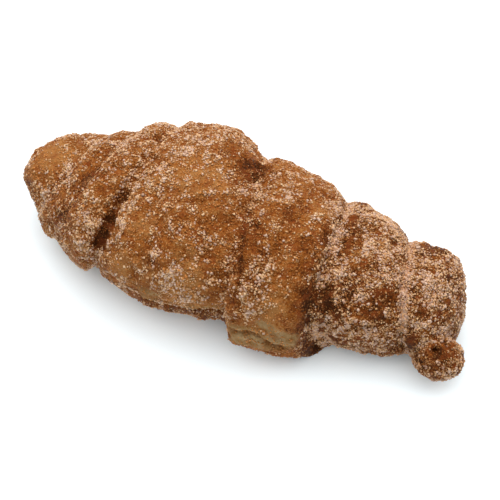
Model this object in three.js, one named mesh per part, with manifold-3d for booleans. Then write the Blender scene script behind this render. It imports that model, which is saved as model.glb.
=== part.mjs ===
// A rolled and fried sweet pastry, about 150 mm long, in one piece.
// A tapered strip of dough is wound from the middle outwards, so that each turn overlaps the next one
// like the turns of a crescent roll. The -X end is a smooth rounded bulb, and the +X end is blunt, with a
// small knob of dough beside it. The -Y side shows the pale band where the two halves of the fry meet.
// Millimetres, +Z up. The pastry lies on a small flat at z = 0. The origin is the bottom centre of its box.

import * as THREE from "three";
import { mergeVertices } from "three/addons/utils/BufferGeometryUtils.js";
import Module from "manifold-3d";

const { clamp, degToRad, lerp, smoothstep } = THREE.MathUtils;

// ---- driving dimensions of the roll ----
const LEFT_TIP_X = -76.5;
const RIGHT_TIP_X = 70;
const BELLY_X = -14; // the widest place
const BELLY_HALF_WIDTH = 32;
const LEFT_TAPER = 12.6; // half width lost in LEFT_TAPER_RUN
const LEFT_TAPER_RUN = 40;
const LEFT_TAPER_POWER = 1.3;
const RIGHT_TAPER = 14.8; // half width lost in RIGHT_TAPER_RUN
const RIGHT_TAPER_RUN = 68;
const SMALLEST_HALF_WIDTH = 6;
const BELLY_FLATNESS = 0.74; // height over width at the belly
const END_FLATNESS = 0.84; // height over width near both ends
const FLATNESS_RUN = { left: 50, right: 60, power: 1.5 }; // how far from the belly that takes
const SECTION_POWER = 2.15; // 2 is an ellipse, more is squarer
const DOUGH_ALLOWANCE = 1.9; // added all round, before the seams cut in

// ---- round ends ----
const LEFT_CAP_X = -60;
const LEFT_CAP_POWER = 2.2;
const RIGHT_CAP_X = 54;
const RIGHT_CAP_POWER = 3;

// ---- how the roll lies ----
const FLOOR_CUT = 1; // how far the belly's underside is pressed flat
const UNDER_FLOOR = [200, 100, 20]; // the block that presses it
const MIDDLE_Y = 1;
// Bends towards +Y and up: each one eases in between two places along the roll.
const SWAYS = [
  { from: -30, to: -70, by: 4.2 },
  { from: 30, to: 70, by: 0.7 },
];
const LIFTS = [
  { from: -25, to: -60, by: 4 },
  { from: -60, to: -75, by: 7 },
  { from: 40, to: 66, by: 0.8 },
];

// ---- the winding: seams run round the roll and step outwards one pitch a turn ----
const SEAM_START = degToRad(-66.5); // angle from +Z towards -Y where turn 0 begins
// Each seam's place along the roll at every half turn from its start: top, bottom, top, and so on.
const LEFT_SEAM_X = [-32.2, -42, -41, -56.8, -51, -67.5];
const RIGHT_SEAM_X = [-3, 4.2, 25, 30.5, 47, 57.5];
const SEAM_BOW = { height: 3.5, gone: 2, easing: 0.6 }; // the first two turns bow towards +X on the front
const LEFT_SEAM_DEPTH = [3.2, 1.2, 2.6, 1.2, 2.2, 1.8]; // at the same half turns
const RIGHT_SEAM_DEPTH = [3.2, 0.8, 3.2, 3.2, 3.2, 3.2];
const SEAM_ROUNDING = 1.2;
// How wide a seam is on its inner and outer side, and where one turn's fullness gives way to the next.
const LEFT_SEAM_SHAPE = { inner: 2.4, outer: 3.8, lip: [-1, 3] };
const RIGHT_SEAM_SHAPE = { inner: 3, outer: 5, lip: [-3, 4.5] };
const GAPE = { turns: 0.31, spread: 0.1, extra: 2.5 }; // the first left seam is deeper on the front
const FLAP_FADE = [-0.45, -0.25]; // turns before the start over which the outer flap runs out
const TURNS_PASSED = [-1, 0, 1, 2]; // whole turns after which a seam can come by the same angle again

// Extra thickness of each turn, in mm, at every half turn from its start.
const MIDDLE_FULLNESS = [0, -2.4];
const LEFT_FULLNESS = [3, 0.8, 0, -0.2, -1.4, -1.5];
const RIGHT_FULLNESS = [0.2, 4.2, 1.6, -1.2, 1.9, 1];
const MIDDLE_LEAN = { x: -18, run: 12, height: 2.3 }; // the middle turn's top is fuller on its -X side

// ---- the fold under the wide turn's lower lip: its angle and its depth, at even steps along it ----
const FOLD_X = [-20, 22];
const FOLD_ANGLES = [99, 104, 99, 94, 94, 91, 98].map((degrees) => degToRad(degrees));
const FOLD_DEPTHS = [1, 2.2, 2.4, 2.2, 1.4, 1, 0.8];
const FOLD_WIDTH = 1.5;
const FOLD_END = 3; // over which the fold runs out

// ---- the dark pocket under the wide turn, where the next turn starts ----
const POCKET = { x: 31.5, angle: degToRad(103), width: 3, depth: 2.5 };

// ---- unevenness of the dough: size of the lumps, their height and a place in the pattern ----
const LUMPS = [
  { size: 19, height: 1.1, place: 11.3, seed: 1 },
  { size: 9, height: 0.7, place: -5.1, seed: 2 },
  { size: 5.5, height: 0.45, place: 3.7, seed: 3 },
];
const END_FADE = 12; // half width under which seams and lumps die away

// ---- the knob of dough at the blunt end ----
const KNOB_CENTRE = [67, -12.4, 11];
const KNOB_RADII = [8.3, 7.2, 6.8];

// ---- facets ----
const ALONG_SEGMENTS = 102;
const AROUND_SEGMENTS = 54;
const KNOB_SEGMENTS = [18, 12];
const MERGE_DISTANCE = 1e-5;
const LEAST_HALF_WIDTH = 1e-6; // keeps the section's shape defined at the two tips

// ---- finish ----
const CRUST_COLOUR = 0xa86a38;
const CRUST_ROUGHNESS = 0.75;

const fraction = (value) => value - Math.floor(value);
const smooth = (from, to, value) =>
  from < to ? smoothstep(value, from, to) : 1 - smoothstep(value, to, from);

const CUBE_CORNERS = [0, 1, 2, 3, 4, 5, 6, 7].map((n) => [n & 1, (n >> 1) & 1, (n >> 2) & 1]);

/** A number from 0 to 1 that belongs to one corner of the lump pattern. */
function cornerValue(i, j, k, seed) {
  return fraction(Math.sin(i * 127.1 + j * 311.7 + k * 74.7 + seed * 53.3) * 43758.5453);
}

/** Smooth uneven height from -1 to 1 at a point, in cells of the given size. */
function lumpiness(point, size, place, seed) {
  const cell = point.map((c) => (c + place) / size);
  const low = cell.map(Math.floor);
  const mix = cell.map((c, i) => smoothstep(c - low[i], 0, 1));
  let height = 0;
  for (const [i, j, k] of CUBE_CORNERS) {
    const weight = [i, j, k].reduce((w, on, axis) => w * (on ? mix[axis] : 1 - mix[axis]), 1);
    height += weight * cornerValue(low[0] + i, low[1] + j, low[2] + k, seed);
  }
  return height * 2 - 1;
}

/** Half width, half height and the half height without the round ends, at a place along the roll. */
function section(x) {
  const left = Math.max(BELLY_X - x, 0);
  const right = Math.max(x - BELLY_X, 0);
  const taper =
    LEFT_TAPER * (left / LEFT_TAPER_RUN) ** LEFT_TAPER_POWER + RIGHT_TAPER * (right / RIGHT_TAPER_RUN);
  const width = Math.max(BELLY_HALF_WIDTH - taper, SMALLEST_HALF_WIDTH);
  const towardsEnd = clamp(left / FLATNESS_RUN.left + right / FLATNESS_RUN.right, 0, 1);
  const flatness = lerp(BELLY_FLATNESS, END_FLATNESS, towardsEnd ** FLATNESS_RUN.power);
  const leftCap = clamp((LEFT_CAP_X - x) / (LEFT_CAP_X - LEFT_TIP_X), 0, 1) ** LEFT_CAP_POWER;
  const rightCap = clamp((x - RIGHT_CAP_X) / (RIGHT_TIP_X - RIGHT_CAP_X), 0, 1) ** RIGHT_CAP_POWER;
  const cap = Math.sqrt(1 - leftCap) * Math.sqrt(1 - rightCap);
  return { width: width * cap, height: width * flatness * cap, uncapped: width * flatness };
}

/** How far a list of bends has moved the roll at a place along it. */
function bent(bends, x) {
  return bends.reduce((sum, bend) => sum + bend.by * smooth(bend.from, bend.to, x), 0);
}

/** Where the middle of the section lies, across and up. */
function middle(x, uncappedHeight) {
  return { y: MIDDLE_Y + bent(SWAYS, x), z: uncappedHeight - FLOOR_CUT + bent(LIFTS, x) };
}

/** A smooth route through a seam's places, carried on half a turn past both ends. */
function seamRoute(places) {
  const before = 2 * places[0] - places[1];
  const after = 2 * places.at(-1) - places.at(-2);
  return new THREE.SplineCurve([before, ...places, after].map((x, half) => new THREE.Vector2(half, x)));
}

const LEFT_SEAM = {
  side: -1,
  route: seamRoute(LEFT_SEAM_X),
  depth: LEFT_SEAM_DEPTH,
  gape: GAPE.extra,
  fullness: LEFT_FULLNESS,
  ...LEFT_SEAM_SHAPE,
};
const RIGHT_SEAM = {
  side: 1,
  route: seamRoute(RIGHT_SEAM_X),
  depth: RIGHT_SEAM_DEPTH,
  gape: 0,
  fullness: RIGHT_FULLNESS,
  ...RIGHT_SEAM_SHAPE,
};
const SEAMS = [LEFT_SEAM, RIGHT_SEAM];

/** Where a seam lies along the roll, a number of turns after its start. */
function seamX(seam, turns) {
  const share = (2 * turns + 1) / (seam.route.points.length - 1);
  const bowing = SEAM_BOW.height * clamp((SEAM_BOW.gone - turns) * SEAM_BOW.easing, 0, 1);
  return seam.route.getPoint(clamp(share, 0, 1)).y + bowing * Math.sin(2 * Math.PI * turns);
}

/** A smooth bump of height 1 at 0 that is nearly gone two widths away. */
const bump = (distance, width) => Math.exp(-((distance / width) ** 2));

/** A value eased between those of a list, at a number of steps along it. */
function eased(values, steps) {
  const at = clamp(steps, 0, values.length - 1);
  const index = Math.floor(at);
  return lerp(values[index], values[index + 1] ?? values[index], smoothstep(at - index, 0, 1));
}

/** How deep a seam is, a number of turns after its start. */
function seamDepth(seam, turns) {
  return eased(seam.depth, 2 * turns) + seam.gape * bump(turns - GAPE.turns, GAPE.spread);
}

/** How much of the seam is there: the outer flap runs out behind the start. */
const seamShows = (turns) => smooth(FLAP_FADE[0], FLAP_FADE[1], turns);

/** How far the winding moves the surface in or out at a place along the roll and an angle round it. */
function winding(x, angle) {
  const firstTurn = fraction((angle - SEAM_START) / (2 * Math.PI));
  const underMiddle = 0.5 - 0.5 * Math.cos(2 * Math.PI * firstTurn);
  const lean = MIDDLE_LEAN.height * clamp((MIDDLE_LEAN.x - x) / MIDDLE_LEAN.run, -1, 1);
  const middleTurn = lerp(...MIDDLE_FULLNESS, underMiddle) + lean * (1 - underMiddle) ** 2;
  let height = middleTurn;
  for (const seam of SEAMS) {
    for (const passed of TURNS_PASSED) {
      const turns = firstTurn + passed;
      const outwards = (x - seamX(seam, turns)) * seam.side;
      const width = outwards < 0 ? seam.inner : seam.outer;
      const groove = seamDepth(seam, turns) * Math.exp(-Math.hypot(outwards, SEAM_ROUNDING) / width);
      const insideTurn = lerp(middleTurn, eased(seam.fullness, 2 * turns - 2), seamShows(turns - 1));
      const step = smooth(...seam.lip, outwards) * (eased(seam.fullness, 2 * turns) - insideTurn);
      height += seamShows(turns) * (step - groove);
    }
  }
  return height;
}

/** How deep the fold and the pocket of the front cut in, at a place on a section of the given radius. */
function frontCuts(x, angle, radius) {
  const [from, to] = FOLD_X;
  const steps = ((x - from) / (to - from)) * (FOLD_ANGLES.length - 1);
  const off = (angle - eased(FOLD_ANGLES, steps)) * radius;
  const past = Math.max(from - x, x - to, 0);
  const fold = eased(FOLD_DEPTHS, steps) * bump(off, FOLD_WIDTH) * bump(past, FOLD_END);
  const away = Math.hypot(x - POCKET.x, (angle - POCKET.angle) * radius);
  return fold + POCKET.depth * bump(away, POCKET.width);
}

/** The point of the roll's surface at a place along it and an angle from +Z towards -Y. */
function rollPoint(x, angle) {
  const { width, height, uncapped } = section(x);
  const { y, z } = middle(x, uncapped);
  const across = Math.abs(Math.sin(angle)) / Math.max(width, LEAST_HALF_WIDTH);
  const up = Math.abs(Math.cos(angle)) / Math.max(height, LEAST_HALF_WIDTH);
  const radius = (across ** SECTION_POWER + up ** SECTION_POWER) ** (-1 / SECTION_POWER);
  const onSection = [x, -radius * Math.sin(angle), radius * Math.cos(angle)];
  const lumps = LUMPS.reduce(
    (sum, lump) => sum + lump.height * lumpiness(onSection, lump.size, lump.place, lump.seed),
    0,
  );
  const fade = clamp(Math.min(width, height) / END_FADE, 0, 1);
  const relief = DOUGH_ALLOWANCE + winding(x, angle) + lumps - frontCuts(x, angle, radius);
  const reach = radius + fade * relief;
  return [x, y - reach * Math.sin(angle), z + reach * Math.cos(angle)];
}

/** A closed geometry with nothing but merged positions. */
function bare(geometry) {
  geometry.deleteAttribute("normal");
  geometry.deleteAttribute("uv");
  return mergeVertices(geometry, MERGE_DISTANCE);
}

/** Gives each four-sided facet its shorter diagonal, so that the facets follow the seams. */
function shortenDiagonals(geometry) {
  const position = geometry.getAttribute("position");
  const index = geometry.index.array;
  const corner = (vertex) => new THREE.Vector3().fromBufferAttribute(position, vertex);
  const gap = (one, other) => corner(one).distanceTo(corner(other));
  const poleFacets = 3 * AROUND_SEGMENTS; // a pole's ring is triangles, not pairs of them
  for (let i = poleFacets; i < index.length - poleFacets; i += 6) {
    const [a, b, d, , c] = index.slice(i, i + 6);
    if (gap(a, c) < gap(b, d)) index.set([a, b, c, a, c, d], i);
  }
}

/** The whole roll: a sphere with its poles at the two tips, each point moved out to the dough's surface. */
function rollGeometry() {
  const geometry = bare(new THREE.SphereGeometry(1, AROUND_SEGMENTS, ALONG_SEGMENTS).rotateZ(-Math.PI / 2));
  const position = geometry.getAttribute("position");
  const point = new THREE.Vector3();
  for (let i = 0; i < position.count; i += 1) {
    point.fromBufferAttribute(position, i);
    const x = lerp(LEFT_TIP_X, RIGHT_TIP_X, (point.x + 1) / 2);
    const angle = Math.atan2(-point.y, point.z);
    position.setXYZ(i, ...rollPoint(x, angle));
  }
  shortenDiagonals(geometry);
  return geometry;
}

/** The small knob of dough, a squashed ball. */
function knobGeometry() {
  return bare(new THREE.SphereGeometry(1, ...KNOB_SEGMENTS))
    .scale(...KNOB_RADII)
    .translate(...KNOB_CENTRE);
}

/** A block under z = 0, which takes off what is pressed flat where the pastry lies. */
function underFloorGeometry() {
  const [, , depth] = UNDER_FLOOR;
  return bare(new THREE.BoxGeometry(...UNDER_FLOOR)).translate(0, 0, -depth / 2);
}

const wasm = await Module();
wasm.setup();

/** A three.js geometry as a closed solid. */
function solid(geometry) {
  return new wasm.Manifold(
    new wasm.Mesh({
      numProp: 3,
      vertProperties: geometry.getAttribute("position").array,
      triVerts: new Uint32Array(geometry.index.array),
    }),
  );
}

/** A closed solid back as a three.js geometry. */
function geometryOf(body) {
  const mesh = body.getMesh();
  const geometry = new THREE.BufferGeometry();
  geometry.setAttribute("position", new THREE.BufferAttribute(mesh.vertProperties, 3));
  geometry.setIndex(new THREE.BufferAttribute(mesh.triVerts, 1));
  geometry.computeVertexNormals();
  return geometry;
}

/** Moves a geometry so that the bottom centre of its box is the origin. */
function standOnOrigin(geometry) {
  geometry.computeBoundingBox();
  const { min, max } = geometry.boundingBox;
  return geometry.translate(-(min.x + max.x) / 2, -(min.y + max.y) / 2, -min.z);
}

const whole = solid(rollGeometry()).add(solid(knobGeometry())).subtract(solid(underFloorGeometry()));

const pastry = new THREE.Mesh(
  standOnOrigin(geometryOf(whole)),
  new THREE.MeshStandardMaterial({ color: CRUST_COLOUR, roughness: CRUST_ROUGHNESS, metalness: 0 }),
);
pastry.name = "pastry";

const model = new THREE.Group();
model.add(pastry);

export default model;
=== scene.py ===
"""A sugared fried pastry: a tapered roll of dough wound in overlapping turns, and a knob at its blunt end.

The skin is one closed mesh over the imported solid, from the same driving dimensions as that solid, with the
crags, blisters, fold lips and browning that the solid leaves out. The sugar on it is real small crystals, one
joined mesh for each kind. Lengths are millimetres in the roll's own frame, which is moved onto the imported
solid at the end and turned into metres.
"""

import logging
import math
from collections.abc import Iterator
from dataclasses import dataclass, field
from enum import Enum

import bmesh
import bpy
import numpy as np
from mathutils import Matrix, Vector


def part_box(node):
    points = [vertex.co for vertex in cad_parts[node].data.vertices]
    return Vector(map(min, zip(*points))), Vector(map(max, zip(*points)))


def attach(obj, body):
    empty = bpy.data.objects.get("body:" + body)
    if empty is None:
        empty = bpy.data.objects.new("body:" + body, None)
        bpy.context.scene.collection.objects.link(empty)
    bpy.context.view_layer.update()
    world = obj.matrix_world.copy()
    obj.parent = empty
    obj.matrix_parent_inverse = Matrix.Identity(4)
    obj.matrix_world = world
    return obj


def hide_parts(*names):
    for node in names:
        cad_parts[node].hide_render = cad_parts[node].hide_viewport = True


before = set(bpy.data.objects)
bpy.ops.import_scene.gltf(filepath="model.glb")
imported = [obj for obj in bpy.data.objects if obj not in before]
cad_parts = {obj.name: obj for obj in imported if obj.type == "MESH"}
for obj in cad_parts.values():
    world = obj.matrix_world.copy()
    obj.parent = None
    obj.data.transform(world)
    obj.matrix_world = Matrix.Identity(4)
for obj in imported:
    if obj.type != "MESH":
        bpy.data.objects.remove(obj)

Array = np.ndarray
Colour = tuple[float, float, float, float]
Span = tuple[float, float]

log = logging.getLogger("pastry")

MM = 0.001
NODE = "pastry"
BODY = "root"

# Large unequal numbers, which make a lattice's corners look random.
CORNER_MIX = np.array([127.1, 311.7, 74.7])
SEED_MIX = 53.3
AXIS_MIX = 7.3
WAVE_HEIGHT = 43758.5453


# ---------------------------------------------------------------- small helpers


def srgb(red: int, green: int, blue: int) -> Colour:
    """A screen colour as the linear colour that a shader socket takes.

    Args:
        red: Its red, from 0 to 255.
        green: Its green.
        blue: Its blue.

    Returns:
        The linear colour.
    """
    levels = [channel / 255 for channel in (red, green, blue)]
    linear = [v / 12.92 if v <= 0.04045 else ((v + 0.055) / 1.055) ** 2.4 for v in levels]
    return (linear[0], linear[1], linear[2], 1.0)


def smooth(start: float, end: float, value: Array) -> Array:
    """A soft step from 0 at start to 1 at end, which may lie either way round."""
    share = np.clip((value - start) / (end - start), 0, 1)
    return share * share * (3 - 2 * share)


def bump(distance: Array, width: float) -> Array:
    """A soft bump, 1 at distance 0 and nearly gone two widths away."""
    return np.exp(-((distance / width) ** 2))


def eased(values: tuple[float, ...], steps: Array) -> Array:
    """Values eased between those of a list.

    Args:
        values: The list, with one value a step.
        steps: Numbers of steps along it.

    Returns:
        One value for each number of steps.
    """
    at = np.clip(steps, 0, len(values) - 1)
    index = np.floor(at).astype(int)
    table = np.array([*values, values[-1]], float)
    return table[index] + (table[index + 1] - table[index]) * smooth(0, 1, at - index)


def corner_value(cell: Array, seed: float) -> Array:
    """A number from 0 to 1 that belongs to each corner of a lattice.

    Args:
        cell: Whole-number corner coordinates, in the last axis.
        seed: Which pattern.

    Returns:
        One number for each corner.
    """
    wave = np.sin(cell @ CORNER_MIX + seed * SEED_MIX) * WAVE_HEIGHT
    return wave - np.floor(wave)


@dataclass(frozen=True)
class Lumps:
    """Smooth unevenness of one size: its cells, its height, and where it lies in which pattern."""

    size: float
    height: float
    place: float
    seed: float

    def at(self, points: Array) -> Array:
        """How uneven it is at each point.

        Args:
            points: Points in millimetres, one a row.

        Returns:
            From -height to height for each point.
        """
        cell = (points + self.place) / self.size
        low = np.floor(cell)
        mix = smooth(0, 1, cell - low)
        level = np.zeros(len(points))
        for corner in np.ndindex(2, 2, 2):
            on = np.array(corner, float)
            weight = np.prod(np.where(on > 0, mix, 1 - mix), axis=1)
            level += weight * corner_value(low + on, self.seed)
        return self.height * (level * 2 - 1)


def layered(layers: tuple[Lumps, ...], points: Array) -> Array:
    """The unevenness of several sizes together at each point."""
    return sum(layer.at(points) for layer in layers)


def blisters(points: Array, size: float, seed: float) -> Array:
    """Domed cells with sharp valleys between them, like the blisters of a fried crust.

    Args:
        points: Points in millimetres, one a row.
        size: The mean distance between two blisters.
        seed: Which pattern.

    Returns:
        From 1 on a blister's top to about 0 in the valleys.
    """
    cell = points / size
    low = np.floor(cell)
    nearest = np.full(len(points), np.inf)
    for step in np.ndindex(3, 3, 3):
        corner = low + np.array(step, float) - 1
        jitter = np.stack([corner_value(corner, seed + axis * AXIS_MIX) for axis in range(3)], axis=1)
        nearest = np.minimum(nearest, np.linalg.norm(corner + jitter - cell, axis=1))
    return np.clip(1 - nearest, 0, 1)


def put_in_scene(name: str, data: bpy.types.ID) -> bpy.types.Object:
    """Makes an object and puts it in the scene.

    Args:
        name: The object's name.
        data: Its mesh, light or camera.

    Returns:
        The object.
    """
    made = bpy.data.objects.new(name, data)
    bpy.context.scene.collection.objects.link(made)
    return made


def write_attribute(mesh: bpy.types.Mesh, name: str, values: Array) -> None:
    """Writes one number a point into a mesh attribute."""
    layer = mesh.attributes.new(name, "FLOAT", "POINT")
    layer.data.foreach_set("value", values.astype(np.float32))


# ---------------------------------------------------------------- the roll of dough


@dataclass(frozen=True)
class Bend:
    """A bend of the roll's middle line, easing in between two places along it."""

    start: float
    end: float
    by: float


@dataclass(frozen=True)
class Seam:
    """A seam that runs round the roll and steps outwards one pitch a turn.

    side is -1 for the seam that winds towards -X and 1 for the other. places are its positions along the roll
    at every half turn. fullness is the extra thickness of the turn outside it, and depth is its own depth, at
    the same half turns.
    """

    side: int
    places: tuple[float, ...]
    fullness: tuple[float, ...]
    depth: tuple[float, ...]
    inner: float
    outer: float
    lip: Span
    gape: float


@dataclass(frozen=True)
class Fold:
    """The fold under the wide turn's lower lip: its angle in degrees and its depth at even steps along it."""

    start: float = -20.0
    end: float = 22.0
    angles: tuple[float, ...] = (99, 104, 99, 94, 94, 91, 98)
    depths: tuple[float, ...] = (1.0, 2.2, 2.4, 2.2, 1.4, 1.0, 0.8)
    width: float = 1.5
    run_out: float = 3.0


@dataclass(frozen=True)
class Dough:
    """The shape of the roll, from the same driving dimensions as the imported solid."""

    left_tip: float = -76.5
    right_tip: float = 70.0
    belly: float = -14.0
    belly_half_width: float = 32.0
    left_taper: float = 12.6
    left_taper_run: float = 40.0
    left_taper_power: float = 1.3
    right_taper: float = 14.8
    right_taper_run: float = 68.0
    smallest_half_width: float = 6.0
    belly_flatness: float = 0.74
    end_flatness: float = 0.84
    flatness_run: Span = (50.0, 60.0)
    flatness_power: float = 1.5
    section_power: float = 2.15
    allowance: float = 1.9
    left_cap: float = -60.0
    left_cap_power: float = 2.2
    right_cap: float = 54.0
    right_cap_power: float = 3.0
    floor_cut: float = 1.0
    middle_y: float = 1.0
    sways: tuple[Bend, ...] = (Bend(-30, -70, 4.2), Bend(30, 70, 0.7))
    lifts: tuple[Bend, ...] = (Bend(-25, -60, 4.0), Bend(-60, -75, 7.0), Bend(40, 66, 0.8))
    seam_start: float = math.radians(-66.5)
    seams: tuple[Seam, ...] = (
        Seam(
            side=-1,
            places=(-32.2, -42, -41, -56.8, -51, -67.5),
            fullness=(3, 0.8, 0, -0.2, -1.4, -1.5),
            depth=(3.2, 1.2, 2.6, 1.2, 2.2, 1.8),
            inner=2.4,
            outer=3.8,
            lip=(-1, 3),
            gape=2.5,
        ),
        Seam(
            side=1,
            places=(-3, 4.2, 25, 30.5, 47, 57.5),
            fullness=(0.2, 4.2, 1.6, -1.2, 1.9, 1),
            depth=(3.2, 0.8, 3.2, 3.2, 3.2, 3.2),
            inner=3.0,
            outer=5.0,
            lip=(-3, 4.5),
            gape=0.0,
        ),
    )
    seam_bow: float = 3.5
    seam_bow_gone: float = 2.0
    seam_bow_easing: float = 0.6
    seam_rounding: float = 1.0  # a little sharper than the solid's seams
    gape_turns: float = 0.31
    gape_spread: float = 0.1
    flap_fade: Span = (-0.45, -0.25)
    turns_passed: tuple[int, ...] = (-1, 0, 1, 2)
    least_shown: float = 0.3
    no_seam: float = 99.0
    middle_fullness: Span = (0.0, -2.4)
    lean_x: float = -18.0
    lean_run: float = 12.0
    lean_height: float = 2.3
    fold: Fold = Fold()
    pocket_x: float = 31.5
    pocket_angle: float = math.radians(103)
    pocket_width: float = 3.0
    pocket_depth: float = 2.5
    lumps: tuple[Lumps, ...] = (Lumps(19, 1.1, 11.3, 1), Lumps(9, 0.7, -5.1, 2), Lumps(5.5, 0.45, 3.7, 3))
    end_fade: float = 12.0
    thinnest: float = 1e-6
    knob_centre: tuple[float, float, float] = (67.0, -12.4, 11.0)
    knob_radii: tuple[float, float, float] = (8.3, 7.2, 6.8)

    def section(self, x: Array) -> tuple[Array, Array, Array]:
        """The roll's section at places along it.

        Args:
            x: Places along the roll.

        Returns:
            Half width, half height, and half height without the round ends.
        """
        left = np.maximum(self.belly - x, 0)
        right = np.maximum(x - self.belly, 0)
        taper = self.left_taper * (left / self.left_taper_run) ** self.left_taper_power
        taper = taper + self.right_taper * (right / self.right_taper_run)
        width = np.maximum(self.belly_half_width - taper, self.smallest_half_width)
        towards_end = np.clip(left / self.flatness_run[0] + right / self.flatness_run[1], 0, 1)
        share = towards_end**self.flatness_power
        flatness = self.belly_flatness + (self.end_flatness - self.belly_flatness) * share
        left_run = (self.left_cap - x) / (self.left_cap - self.left_tip)
        right_run = (x - self.right_cap) / (self.right_tip - self.right_cap)
        left_cap = np.clip(left_run, 0, 1) ** self.left_cap_power
        right_cap = np.clip(right_run, 0, 1) ** self.right_cap_power
        cap = np.sqrt(1 - left_cap) * np.sqrt(1 - right_cap)
        return width * cap, width * flatness * cap, width * flatness

    def middle(self, x: Array) -> tuple[Array, Array]:
        """Where the middle of the section lies.

        Args:
            x: Places along the roll.

        Returns:
            How far across and how far up it lies.
        """
        sway = sum(bend.by * smooth(bend.start, bend.end, x) for bend in self.sways)
        lift = sum(bend.by * smooth(bend.start, bend.end, x) for bend in self.lifts)
        return self.middle_y + sway, self.section(x)[2] - self.floor_cut + lift

    def seam_x(self, seam: Seam, turns: Array) -> Array:
        """Where a seam lies along the roll, at numbers of turns after its start.

        Args:
            seam: Which seam.
            turns: Turns after its start.

        Returns:
            Places along the roll, on a smooth curve through the seam's places.
        """
        places = seam.places
        route = np.array([2 * places[0] - places[1], *places, 2 * places[-1] - places[-2]], float)
        last = len(route) - 1
        at = np.clip(2 * turns + 1, 0, last)
        index = np.floor(at).astype(int)
        share = at - index
        before, here, after, beyond = (route[np.clip(index + step, 0, last)] for step in (-1, 0, 1, 2))
        leaving = (after - before) / 2
        arriving = (beyond - here) / 2
        cubic = 2 * here - 2 * after + leaving + arriving
        square = -3 * here + 3 * after - 2 * leaving - arriving
        bowing = self.seam_bow * np.clip((self.seam_bow_gone - turns) * self.seam_bow_easing, 0, 1)
        on_route = cubic * share**3 + square * share**2 + leaving * share + here
        return on_route + bowing * np.sin(2 * np.pi * turns)

    def shows(self, turns: Array) -> Array:
        """How much of a seam is there: the outer flap runs out behind the start."""
        return smooth(*self.flap_fade, turns)

    def first_turn(self, angle: Array) -> Array:
        """How far round the first turn each angle lies, from 0 to 1."""
        return np.mod((angle - self.seam_start) / (2 * np.pi), 1)

    def passing_seams(self, x: Array, angle: Array) -> Iterator[tuple[Seam, Array, Array]]:
        """Goes through every time that a seam comes by.

        Args:
            x: Places along the roll.
            angle: Angles round it from +Z towards -Y.

        Returns:
            Each time, the seam, how many turns after its start it comes by, and how far outwards from it each
            place lies.
        """
        for seam in self.seams:
            for passed in self.turns_passed:
                turns = self.first_turn(angle) + passed
                yield seam, turns, (x - self.seam_x(seam, turns)) * seam.side

    def winding(self, x: Array, angle: Array) -> Array:
        """How far the winding moves the surface in or out.

        Args:
            x: Places along the roll.
            angle: Angles round it from +Z towards -Y.

        Returns:
            Heights in millimetres.
        """
        under = 0.5 - 0.5 * np.cos(2 * np.pi * self.first_turn(angle))
        lean = self.lean_height * np.clip((self.lean_x - x) / self.lean_run, -1, 1)
        low, high = self.middle_fullness
        middle_turn = low + (high - low) * under + lean * (1 - under) ** 2
        height = middle_turn.copy()
        for seam, turns, outwards in self.passing_seams(x, angle):
            width = np.where(outwards < 0, seam.inner, seam.outer)
            gape = seam.gape * bump(turns - self.gape_turns, self.gape_spread)
            depth = eased(seam.depth, 2 * turns) + gape
            groove = depth * np.exp(-np.hypot(outwards, self.seam_rounding) / width)
            inside = eased(seam.fullness, 2 * turns - 2)
            inside = middle_turn + (inside - middle_turn) * self.shows(turns - 1)
            step = smooth(*seam.lip, outwards) * (eased(seam.fullness, 2 * turns) - inside)
            height += self.shows(turns) * (step - groove)
        return height

    def seam_distance(self, x: Array, angle: Array) -> Array:
        """How far points are from the nearest seam.

        Args:
            x: Places along the roll.
            angle: Angles round it.

        Returns:
            The distance outwards from the nearest seam, negative on its inner side.
        """
        nearest = np.full(len(x), self.no_seam)
        for _, turns, outwards in self.passing_seams(x, angle):
            closer = (np.abs(outwards) < np.abs(nearest)) & (self.shows(turns) > self.least_shown)
            nearest = np.where(closer, outwards, nearest)
        return nearest

    def fold_steps(self, x: Array) -> Array:
        """How many steps along the fold places lie."""
        return (x - self.fold.start) / (self.fold.end - self.fold.start) * (len(self.fold.angles) - 1)

    def past_fold(self, x: Array) -> Array:
        """How far places lie past either end of the fold."""
        return np.maximum(np.maximum(self.fold.start - x, x - self.fold.end), 0)

    def below_fold(self, x: Array, angle: Array, radius: Array) -> Array:
        """How far points lie below the fold's line, on sections of the given radius."""
        return (angle - np.radians(eased(self.fold.angles, self.fold_steps(x)))) * radius

    def front_cuts(self, x: Array, angle: Array, radius: Array) -> Array:
        """How deep the fold and the pocket of the front cut in.

        Args:
            x: Places along the roll.
            angle: Angles round it.
            radius: The section's radius there.

        Returns:
            Depths in millimetres.
        """
        depth = eased(self.fold.depths, self.fold_steps(x)) * bump(self.past_fold(x), self.fold.run_out)
        depth = depth * bump(self.below_fold(x, angle, radius), self.fold.width)
        away = np.hypot(x - self.pocket_x, (angle - self.pocket_angle) * radius)
        return depth + self.pocket_depth * bump(away, self.pocket_width)

    def radius(self, x: Array, angle: Array) -> Array:
        """The section's own radius, before seams and lumps.

        Args:
            x: Places along the roll.
            angle: Angles round it.

        Returns:
            Radii in millimetres.
        """
        width, height, _ = self.section(x)
        across = np.abs(np.sin(angle)) / np.maximum(width, self.thinnest)
        up = np.abs(np.cos(angle)) / np.maximum(height, self.thinnest)
        return (across**self.section_power + up**self.section_power) ** (-1 / self.section_power)

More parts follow.
